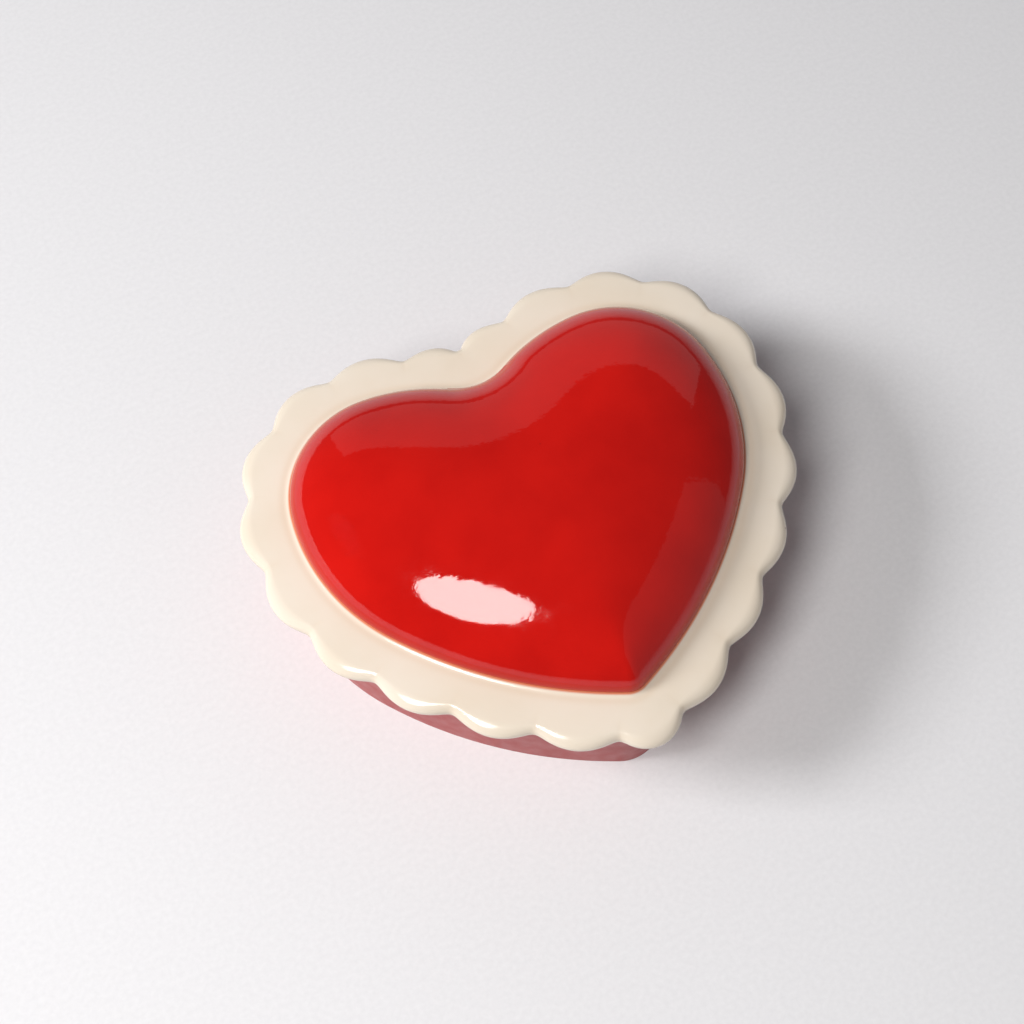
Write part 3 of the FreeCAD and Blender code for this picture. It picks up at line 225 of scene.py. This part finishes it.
def make_rim():
    """Scalloped flange: each scallop is a soft pillow and the notches run inwards as faint valleys.

    The profile runs from the foot of the heart out over the top, round the edge (a quarter
    ellipse above and one below), back under the flange, down the locating ring and up the mouth.
    """
    spots, outs, place, half = ring_of_hearts(RIM_STATIONS)
    side, swell = scallop_wave(place, half)
    near_cleft = np.clip((place - (half - CLEFT_SCALLOP)) / CLEFT_SCALLOP, 0, 1)
    notch = NOTCH_LINE + (CLEFT_NOTCH - NOTCH_LINE) * near_cleft ** 2
    edge = notch + (CREST_LINE - NOTCH_LINE) * swell * np.where(near_cleft > 0.98, 0.5, 1)
    edge += 0.12 * wobble(spots, 45, 3) - 0.12
    low, top = rim_low[2] / MM, rim_high[2] / MM
    underside = low + RING_DEPTH
    thick = top - underside
    valley = side ** 12
    rows, heights, thin, pooling_and_shade = [], [], [], []

    def row(offset, height, thin_glaze=0.0, pooled_and_shaded=0.0):
        rows.append(np.broadcast_to(offset, edge.shape))
        heights.append(np.broadcast_to(height, edge.shape))
        thin.append(np.broadcast_to(thin_glaze, edge.shape))
        pooling_and_shade.append(np.broadcast_to(pooled_and_shaded, edge.shape))

    foot, lower = -0.5, thick * 0.44
    # the brow is where the flat top starts to round over; it follows the scallops only faintly
    brow = notch + 0.3 * (edge - notch) - 2.3
    # upper face: a small cove at the heart's foot, then a gentle fall to the rounded edge
    for step in np.linspace(0, 1, 30) ** 1.2:
        offset = foot + (brow - foot) * step
        cove = 0.9 * np.clip(1 - (offset + 0.2) / 1.9, 0, 1) ** 2.2
        dip = 0.05 * valley * np.clip((step - 0.7) / 0.3, 0, 1) ** 1.5
        unevenness = 0.1 * (1 + wobble(spots, 30, 9)) * step
        # last argument: darker pool colour along the notch valleys and in a band beside the heart's foot,
        # partly glaze pooling and partly painted shade
        row(offset, top - 0.95 + cove - 0.3 * step ** 2 - dip - unevenness,
            np.exp(-((offset - 0.1) / 0.45) ** 2),
            0.15 * valley * np.clip(step * 2.5 - 1.5, 0, 1) + 0.3 * np.exp(-((offset - 2.0) / 1.0) ** 2))
    start_height = heights[-1]
    # rounding over the edge: the pool colour grows towards the underside as painted shade, stronger in the
    # notches
    for turn in np.radians(np.linspace(8, 90, 12)):
        drop = (1 - math.cos(turn)) * (start_height - (underside + lower))
        row(brow + (edge - brow) * math.sin(turn), start_height - drop, 0.0,
            0.3 * valley * math.sin(turn) + 0.12 * math.sin(turn))
    # lower rounding: painted shade in the pool colour, darker still in the notches
    for turn in np.radians(np.linspace(12, 90, 10)):
        row(edge - LOWER_ROUND * (1 - math.cos(turn)), underside + lower * (1 - math.sin(turn)), 0.0,
            0.5 * valley + 0.3)
    ring_out = BASE_INSIDE - RING_GAP
    # underside, locating ring and mouth: a fixed painted shade (0.4) in the pool colour
    for step in np.linspace(0.1, 1, 6):
        row((edge - LOWER_ROUND) * (1 - step) + ring_out * step, underside, 0.0, 0.4)
    for height in np.linspace(underside - 0.4, low + 0.5, 4):
        row(ring_out, height, 0.0, 0.4)
    row(ring_out - 0.15, low + 0.15, 0.0, 0.4)
    row(ring_out - 0.5, low, 0.0, 0.4)
    row(-3.0, low, 0.0, 0.4)
    row(-3.6, low + 0.2, 0.0, 0.4)
    for height in np.linspace(low + 0.6, top - 0.6, 6):
        row(-DOME_WALL, height, 0.0, 0.4)
    row(-DOME_WALL, top - 0.32, 0.0, 0.4)
    grid = heart_grid(spots, outs, np.array(rows), np.array(heights))
    return shell_mesh("scalloped_rim", grid, closed_rows=True,
                      attributes={"thin": np.array(thin), "pooling_and_shade": np.array(pooling_and_shade)})


def smooth_distance(flat, outline, power=12.0):
    """Distance to the outline, rounded off where two sides are equally near (mm).

    The sum over the outline of step / r^power equals c * d^(1 - power) for a straight edge, where
    c is the integral of (1 + x^2)^(-power / 2).  Solved for d, it has no creases except near a tip.
    """
    step = np.linalg.norm(np.roll(outline, -1, axis=0) - outline, axis=1)
    x = np.linspace(-40, 40, 16001)
    c = ((1 + x ** 2) ** (-power / 2)).sum() * (x[1] - x[0])
    flat_points = flat.reshape(-1, 2)
    result = np.empty(len(flat_points))
    for chunk in np.array_split(np.arange(len(flat_points)), 60):
        square = ((flat_points[chunk, None] - outline[None]) ** 2).sum(axis=2)
        nearest = np.sqrt(square.min(axis=1))
        total = (step / np.maximum(square, 1e-8) ** (power / 2)).sum(axis=1)
        smooth = (c / total) ** (1 / (power - 1))
        trust = np.clip((nearest - 0.5) / 1.5, 0, 1)
        result[chunk] = nearest + (smooth - nearest) * trust
    return result.reshape(flat.shape[:-1])


def dome_grid(spots, shrink, rise, low, steps):
    """Rings from the heart's foot to the crown; height follows the distance d from the foot's outline.

    With s = 1 - d / deepest, s^side + (height / rise)^top = 1, so the wall is steep at the foot and
    the crown is gentle; the two flanks meet in a crease that fades inwards from the tip.
    """
    centre = np.array([0, DOME_CENTRE])
    arm = spots - centre
    scale = (1 - np.linspace(0, 1, steps) ** 1.7)
    flat = centre + arm[None] * (scale * shrink)[:, None, None]
    foot = centre + arm * shrink
    far = smooth_distance(flat, foot)
    far[0] = 0.0
    deepest = far.max()
    height = rise * np.clip(1 - (1 - far / deepest) ** DOME_SIDE, 0, 1) ** (1 / DOME_TOP)
    grid = np.zeros(flat.shape[:2] + (3,))
    grid[..., :2] = flat
    grid[..., 1] += HEART_SHIFT
    grid[..., 2] = low + height
    return grid, scale


def make_dome():
    """Hollow heart dome: an outer and an inner crown joined at the foot."""
    spots = ring_of_hearts(DOME_STATIONS)[0]
    low, rise = dome_low[2] / MM - 0.3, (dome_high[2] - dome_low[2]) / MM + 0.3
    widest = spots[:, 0].max()
    outer, scale = dome_grid(spots, 1.0, rise, low, 84)
    outer[..., 2] += 0.08 * (1 - scale[:, None]) * (wobble(outer[..., :2], 38, 5) - 1)
    inner, _ = dome_grid(spots[::2], 1 - DOME_WALL / widest, rise - DOME_WALL, low, 36)
    inner = np.repeat(inner, 2, axis=1)
    inner[:, 1::2] = (inner[:, ::2] + np.roll(inner[:, ::2], -1, axis=1)) / 2
    grid = np.concatenate([inner[::-1], outer]) * MM
    grid[0] = grid[0].mean(axis=0)
    grid[-1] = grid[-1].mean(axis=0)
    height = grid[..., 2] / MM - low
    thin = np.exp(-(height / 0.55) ** 2)
    return shell_mesh("heart_dome", grid, pole_rows=(True, True), attributes={"thin": thin})


# ---------------------------------------------------------------- materials

def put(tree, kind, settings=None, **sockets):
    """Adds a node; a socket is given a value, or another node's output to be linked."""
    item = tree.nodes.new(kind)
    for key, value in (settings or {}).items():
        setattr(item, key, value)
    for key, value in sockets.items():
        socket = item.inputs[key.replace("_", " ")]
        if isinstance(value, bpy.types.NodeSocket):
            tree.links.new(value, socket)
        else:
            socket.default_value = value
    return item


def new_group(name, inputs, outputs):
    tree = bpy.data.node_groups.new(name, "ShaderNodeTree")
    for key, value in inputs.items():
        socket = tree.interface.new_socket(key, in_out="INPUT", socket_type="NodeSocketFloat")
        socket.default_value = value
    for key in outputs:
        tree.interface.new_socket(key, in_out="OUTPUT", socket_type="NodeSocketFloat")
    return tree, tree.nodes.new("NodeGroupInput"), tree.nodes.new("NodeGroupOutput")


def band(tree, value, low, high, to_low=0.0, to_high=1.0):
    """Value remapped and clamped from low..high to to_low..to_high."""
    item = put(tree, "ShaderNodeMapRange", {"clamp": True}, Value=value)
    for key, number in (("From Min", low), ("From Max", high), ("To Min", to_low), ("To Max", to_high)):
        item.inputs[key].default_value = number
    return item.outputs["Result"]


def make_glaze_group():
    """Fired glaze: orange-peel height, cloudy mottle, pin specks and roughness cloud."""
    tree, given, out = new_group("glaze_skin", {"Peel": 900.0, "Cloud": 60.0},
                                 ("Height", "Mottle", "Specks", "Haze"))
    spot = put(tree, "ShaderNodeTexCoord").outputs["Object"]
    peel = put(tree, "ShaderNodeTexNoise", Vector=spot, Scale=given.outputs["Peel"], Detail=2.0)
    swell = put(tree, "ShaderNodeTexNoise", Vector=spot, Scale=given.outputs["Cloud"], Detail=1.0)
    both = put(tree, "ShaderNodeMath", {"operation": "MULTIPLY_ADD"})
    tree.links.new(swell.outputs["Fac"], both.inputs[0])
    both.inputs[1].default_value = 3.0
    tree.links.new(peel.outputs["Fac"], both.inputs[2])
    mottle = put(tree, "ShaderNodeTexNoise", Vector=spot, Scale=given.outputs["Cloud"], Detail=5.0)
    cells = put(tree, "ShaderNodeTexVoronoi", Vector=spot, Scale=170.0)
    pick = put(tree, "ShaderNodeTexNoise", Vector=spot, Scale=90.0, Detail=0.0)
    small = band(tree, cells.outputs["Distance"], 0.03, 0.07, 1.0, 0.0)
    rare = band(tree, pick.outputs["Fac"], 0.66, 0.68)
    specks = put(tree, "ShaderNodeMath", {"operation": "MULTIPLY"})
    tree.links.new(small, specks.inputs[0])
    tree.links.new(rare, specks.inputs[1])
    haze = put(tree, "ShaderNodeTexNoise", Vector=spot, Scale=260.0, Detail=4.0)
    for key, socket in (("Height", both.outputs[0]), ("Mottle", mottle.outputs["Fac"]),
                        ("Specks", specks.outputs[0]), ("Haze", haze.outputs["Fac"])):
        tree.links.new(socket, out.inputs[key])
    return tree


def make_metal_group():
    """Machined metal: fine brush lines along one axis and smudges."""
    tree, given, out = new_group("metal_skin", {"Lines": 2600.0, "Smudge": 160.0},
                                 ("Height", "Smudge", "Lines"))
    spot = put(tree, "ShaderNodeTexCoord").outputs["Object"]
    stretch = put(tree, "ShaderNodeVectorMath", {"operation": "MULTIPLY"})
    tree.links.new(spot, stretch.inputs[0])
    stretch.inputs[1].default_value = (0.04, 1.0, 1.0)
    lines = put(tree, "ShaderNodeTexNoise", Vector=stretch.outputs[0], Scale=given.outputs["Lines"],
                Detail=3.0)
    smudge = put(tree, "ShaderNodeTexNoise", Vector=spot, Scale=given.outputs["Smudge"], Detail=5.0)
    for key, socket in (("Height", lines.outputs["Fac"]), ("Smudge", smudge.outputs["Fac"]),
                        ("Lines", lines.outputs["Fac"])):
        tree.links.new(socket, out.inputs[key])
    return tree


def make_grain_group():
    """Fine grain for plastic, casting skin and felt: rough height, clouds and fibres."""
    tree, given, out = new_group("grain_skin", {"Grain": 1500.0, "Cloud": 120.0},
                                 ("Height", "Cloud", "Fibre"))
    spot = put(tree, "ShaderNodeTexCoord").outputs["Object"]
    grain = put(tree, "ShaderNodeTexNoise", Vector=spot, Scale=given.outputs["Grain"], Detail=6.0)
    cloud = put(tree, "ShaderNodeTexNoise", Vector=spot, Scale=given.outputs["Cloud"], Detail=4.0)
    fibre = put(tree, "ShaderNodeTexVoronoi", Vector=spot, Scale=given.outputs["Grain"])
    for key, socket in (("Height", grain.outputs["Fac"]), ("Cloud", cloud.outputs["Fac"]),
                        ("Fibre", fibre.outputs["Distance"])):
        tree.links.new(socket, out.inputs[key])
    return tree


GLAZE, METAL, GRAIN = make_glaze_group(), make_metal_group(), make_grain_group()


def start(name, roughness, **sockets):
    material = bpy.data.materials.new(name)
    material.use_nodes = True
    tree = material.node_tree
    tree.nodes.clear()
    shader = put(tree, "ShaderNodeBsdfPrincipled", Roughness=roughness, **sockets)
    end = tree.nodes.new("ShaderNodeOutputMaterial")
    tree.links.new(shader.outputs[0], end.inputs["Surface"])
    return material, tree, shader


def use(tree, group, **sockets):
    item = tree.nodes.new("ShaderNodeGroup")
    item.node_tree = group
    for key, value in sockets.items():
        item.inputs[key].default_value = value
    return item.outputs


def blend(tree, mask, first, second):
    """First colour where the mask is 0, second where it is 1."""
    item = tree.nodes.new("ShaderNodeMixRGB")
    for socket, value in zip(item.inputs, (mask, first, second)):
        if isinstance(value, bpy.types.NodeSocket):
            tree.links.new(value, socket)
        elif socket.name == "Fac":
            socket.default_value = value
        else:
            socket.default_value = (*value, 1.0)
    return item.outputs[0]


def bump(tree, shader, height, strength, distance):
    item = put(tree, "ShaderNodeBump", Height=height, Strength=strength, Distance=distance)
    tree.links.new(item.outputs[0], shader.inputs["Normal"])


def glaze(name, colour, cloud, speck, thin=None, pooling_and_shade=None, shine=(0.05, 0.12), peel=700.0, deep=0.00003):
    """Glossy fired glaze; thin is its colour where it runs thin. The pool colour is a darker tone that is
    partly real glaze pooling and partly painted shade in notches and under the flange.
    """
    material, tree, shader = start(name, shine[0])
    shader.inputs["IOR"].default_value = 1.52
    skin = use(tree, GLAZE, Peel=peel, Cloud=45.0)
    shade = blend(tree, band(tree, skin["Mottle"], 0.35, 0.68), colour, cloud)
    if pooling_and_shade:
        # darker pool colour mixed in by the rim attribute: partly glaze pooling, partly painted shade
        pooling_shade_mask = put(tree, "ShaderNodeAttribute", {"attribute_name": "pooling_and_shade"}).outputs["Fac"]
        shade = blend(tree, band(tree, pooling_shade_mask, 0.0, 1.0, 0.0, 0.75), shade, pooling_and_shade)
    if thin:
        edge = put(tree, "ShaderNodeAttribute", {"attribute_name": "thin"}).outputs["Fac"]
        shade = blend(tree, band(tree, edge, 0.25, 0.95, 0.0, 0.9), shade, thin)
    shade = blend(tree, skin["Specks"], shade, speck)
    tree.links.new(shade, shader.inputs["Base Color"])
    tree.links.new(band(tree, skin["Haze"], 0.35, 0.7, *shine), shader.inputs["Roughness"])
    bump(tree, shader, skin["Height"], 0.35, deep)
    return material


def metal(name, colour, tarnish, shine=(0.22, 0.38), lines=2600.0, strength=0.12):
    material, tree, shader = start(name, shine[0], Metallic=1.0)
    skin = use(tree, METAL, Lines=lines, Smudge=160.0)
    shade = blend(tree, band(tree, skin["Smudge"], 0.42, 0.7), colour, tarnish)
    tree.links.new(shade, shader.inputs["Base Color"])
    tree.links.new(band(tree, skin["Lines"], 0.3, 0.7, *shine), shader.inputs["Roughness"])
    bump(tree, shader, skin["Height"], strength, 0.00002)
    return material


def grained(name, colour, cloud, shine=(0.4, 0.6), grain=1500.0, strength=0.2, **sockets):
    material, tree, shader = start(name, shine[0], **sockets)
    skin = use(tree, GRAIN, Grain=grain, Cloud=140.0)
    shade = blend(tree, band(tree, skin["Cloud"], 0.35, 0.7), colour, cloud)
    tree.links.new(shade, shader.inputs["Base Color"])
    tree.links.new(band(tree, skin["Height"], 0.3, 0.7, *shine), shader.inputs["Roughness"])
    bump(tree, shader, skin["Height"], strength, 0.00005)
    return material


def felt_cloth():
    """Short dense pile: fibre cells lighten the tips and raise the surface."""
    material, tree, shader = start("red_felt", 0.95)
    shader.inputs["Sheen Weight"].default_value = 0.6
    shader.inputs["Sheen Roughness"].default_value = 0.5
    skin = use(tree, GRAIN, Grain=1400.0, Cloud=90.0)
    shade = blend(tree, band(tree, skin["Fibre"], 0.1, 0.7), (0.12, 0.006, 0.01), (0.3, 0.02, 0.03))
    shade = blend(tree, band(tree, skin["Cloud"], 0.4, 0.75, 0.0, 0.5), shade, (0.2, 0.012, 0.018))
    tree.links.new(shade, shader.inputs["Base Color"])
    bump(tree, shader, skin["Fibre"], 0.6, 0.0002)
    return material


def clear_cover():
    material, tree, shader = start("clear_cover", 0.06)
    shader.inputs["Transmission Weight"].default_value = 0.96
    shader.inputs["IOR"].default_value = 1.49
    skin = use(tree, GRAIN, Grain=300.0, Cloud=70.0)
    shade = blend(tree, band(tree, skin["Cloud"], 0.4, 0.7), (0.93, 0.95, 0.95), (0.86, 0.89, 0.9))
    tree.links.new(shade, shader.inputs["Base Color"])
    tree.links.new(band(tree, skin["Height"], 0.45, 0.75, 0.03, 0.16), shader.inputs["Roughness"])
    return material


MATERIALS = {
    # cream glaze: the pool colour is a darker warm tone, partly glaze pooling and partly painted shade in
    # notches and under the flange
    "cream_glaze": glaze("cream_glaze", (0.79, 0.705, 0.6), (0.76, 0.665, 0.545), (0.3, 0.2, 0.12),
                         thin=(0.62, 0.12, 0.03), pooling_and_shade=(0.64, 0.47, 0.31), shine=(0.09, 0.2)),
    "red_glaze": glaze("red_glaze", (0.54, 0.005, 0.002), (0.46, 0.003, 0.001), (0.12, 0.002, 0.002),
                       thin=(0.72, 0.1, 0.02), shine=(0.03, 0.08), peel=520.0, deep=0.00006),
    "base_glaze": glaze("base_glaze", (0.42, 0.07, 0.07), (0.37, 0.055, 0.055), (0.2, 0.03, 0.03),
                        shine=(0.32, 0.5), peel=1200.0, deep=0.000015),
    "felt": felt_cloth(),
    "plated_steel": metal("plated_steel", (0.62, 0.61, 0.57), (0.5, 0.49, 0.45)),
    "brass": metal("brass", (0.78, 0.55, 0.22), (0.58, 0.38, 0.15), shine=(0.18, 0.34)),
    "zinc": grained("zinc_casting", (0.5, 0.5, 0.51), (0.42, 0.42, 0.43), (0.35, 0.52), 2200.0, 0.3,
                    Metallic=1.0),
    "spring_steel": metal("spring_steel", (0.16, 0.19, 0.3), (0.24, 0.22, 0.22), (0.2, 0.3)),
    "comb_steel": metal("comb_steel", (0.68, 0.68, 0.7), (0.56, 0.56, 0.58), (0.15, 0.28)),
    "clear_plastic": clear_cover(),
    "white_plastic": grained("white_plastic", (0.8, 0.78, 0.72), (0.74, 0.71, 0.64), (0.3, 0.42),
                              1800.0, 0.08),
    "dark_plastic": grained("dark_plastic", (0.03, 0.03, 0.032), (0.05, 0.05, 0.05), (0.3, 0.45),
                             1800.0, 0.1),
    "screw_steel": metal("screw_steel", (0.6, 0.6, 0.61), (0.4, 0.38, 0.35), (0.25, 0.42), 1800.0, 0.2),
}


# ---------------------------------------------------------------- pieces on their bodies

def coat(thing, slot):
    thing.data.materials.clear()
    thing.data.materials.append(MATERIALS[slot])


SLOT_OF = {entry["node"]: entry["material_slot"] for entry in frame["record"]["subparts"]}
for node, thing in frame["nodes"].items():
    for holder in thing.material_slots:
        holder.material = MATERIALS[SLOT_OF[node]]

rim = make_rim()
coat(rim, "cream_glaze")
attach(rim, "lid")
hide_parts("lid_rim")

dome = make_dome()
coat(dome, "red_glaze")
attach(dome, "lid")
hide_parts("lid_heart_dome")

EASED = {"base_shell": ("heart_base", 1.1, "base"), "movement_cover": ("clear_cover", 0.5, "base"),
         "winding_key": ("key_wings", 0.35, "key"), "tray_felt": ("felt_lining", 0.3, "base"),
         "comb_block": ("comb_heel_block", 0.3, "base"), "bedplate": ("steel_bedplate", 0.25, "base")}
for node, (name, width, body) in EASED.items():
    piece = eased_copy(node, name, width)
    coat(piece, SLOT_OF[node])
    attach(piece, body)
    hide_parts(node)


# ---------------------------------------------------------------- floor, light and camera

def stage_floor():
    """A wide plain sheet at floor height."""
    half = 3.0
    mesh = bpy.data.meshes.new("floor")
    mesh.from_pydata([(-half, -half, 0), (half, -half, 0), (half, half, 0), (-half, half, 0)], [],
                     [(0, 1, 2, 3)])
    thing = bpy.data.objects.new("floor", mesh)
    bpy.context.scene.collection.objects.link(thing)
    material, tree, shader = start("floor_paper", 0.75)
    skin = use(tree, GRAIN, Grain=700.0, Cloud=6.0)
    shade = blend(tree, skin["Height"], (0.7, 0.695, 0.715), (0.8, 0.795, 0.815))
    tree.links.new(shade, shader.inputs["Base Color"])
    mesh.materials.append(material)


def area_light(name, spot, aim, wide, tall, power, colour=(1, 1, 1), shape="RECTANGLE",
               mirrored=True):
    data = bpy.data.lights.new(name, "AREA")
    data.shape = shape
    data.size, data.size_y = wide, tall
    data.energy = power
    data.color = colour
    thing = bpy.data.objects.new(name, data)
    thing.location = spot
    thing.rotation_euler = (Vector(aim) - Vector(spot)).to_track_quat("-Z", "Y").to_euler()
    thing.visible_glossy = mirrored
    bpy.context.scene.collection.objects.link(thing)


def set_camera():
    """Stands in front and to the left, looking steeply down at the lid."""
    data = bpy.data.cameras.new("camera")
    data.sensor_width, data.lens = 36.0, LENS
    thing = bpy.data.objects.new("camera", data)
    thing.location = Vector(CAMERA_SPOT) * MM
    aim = Vector(CAMERA_AIM) * MM
    thing.rotation_euler = (aim - thing.location).to_track_quat("-Z", "Y").to_euler()
    bpy.context.scene.collection.objects.link(thing)
    bpy.context.scene.camera = thing


def set_world():
    world = bpy.data.worlds.new("studio")
    world.use_nodes = True
    sky = world.node_tree.nodes["Background"]
    sky.inputs["Color"].default_value = (0.9, 0.9, 0.93, 1)
    sky.inputs["Strength"].default_value = WORLD_STRENGTH
    bpy.context.scene.world = world


stage_floor()
set_world()
middle = (0.0, 0.0, 0.04)
area_light("softbox", (-0.46, -0.24, 0.87), middle, 0.31, 0.52, 6.2, (1.0, 0.98, 0.95), "ELLIPSE")
area_light("left_window", (-1.2, 0.45, 0.95), middle, 0.45, 0.45, 18.0, mirrored=False)
area_light("backdrop_glow", (0.75, 1.5, 0.75), middle, 3.2, 1.3, 3.6)
area_light("side_panel", (0.85, -0.85, 0.5), middle, 1.6, 1.4, 1.1)
set_camera()
bpy.context.scene.view_settings.view_transform = "Standard"
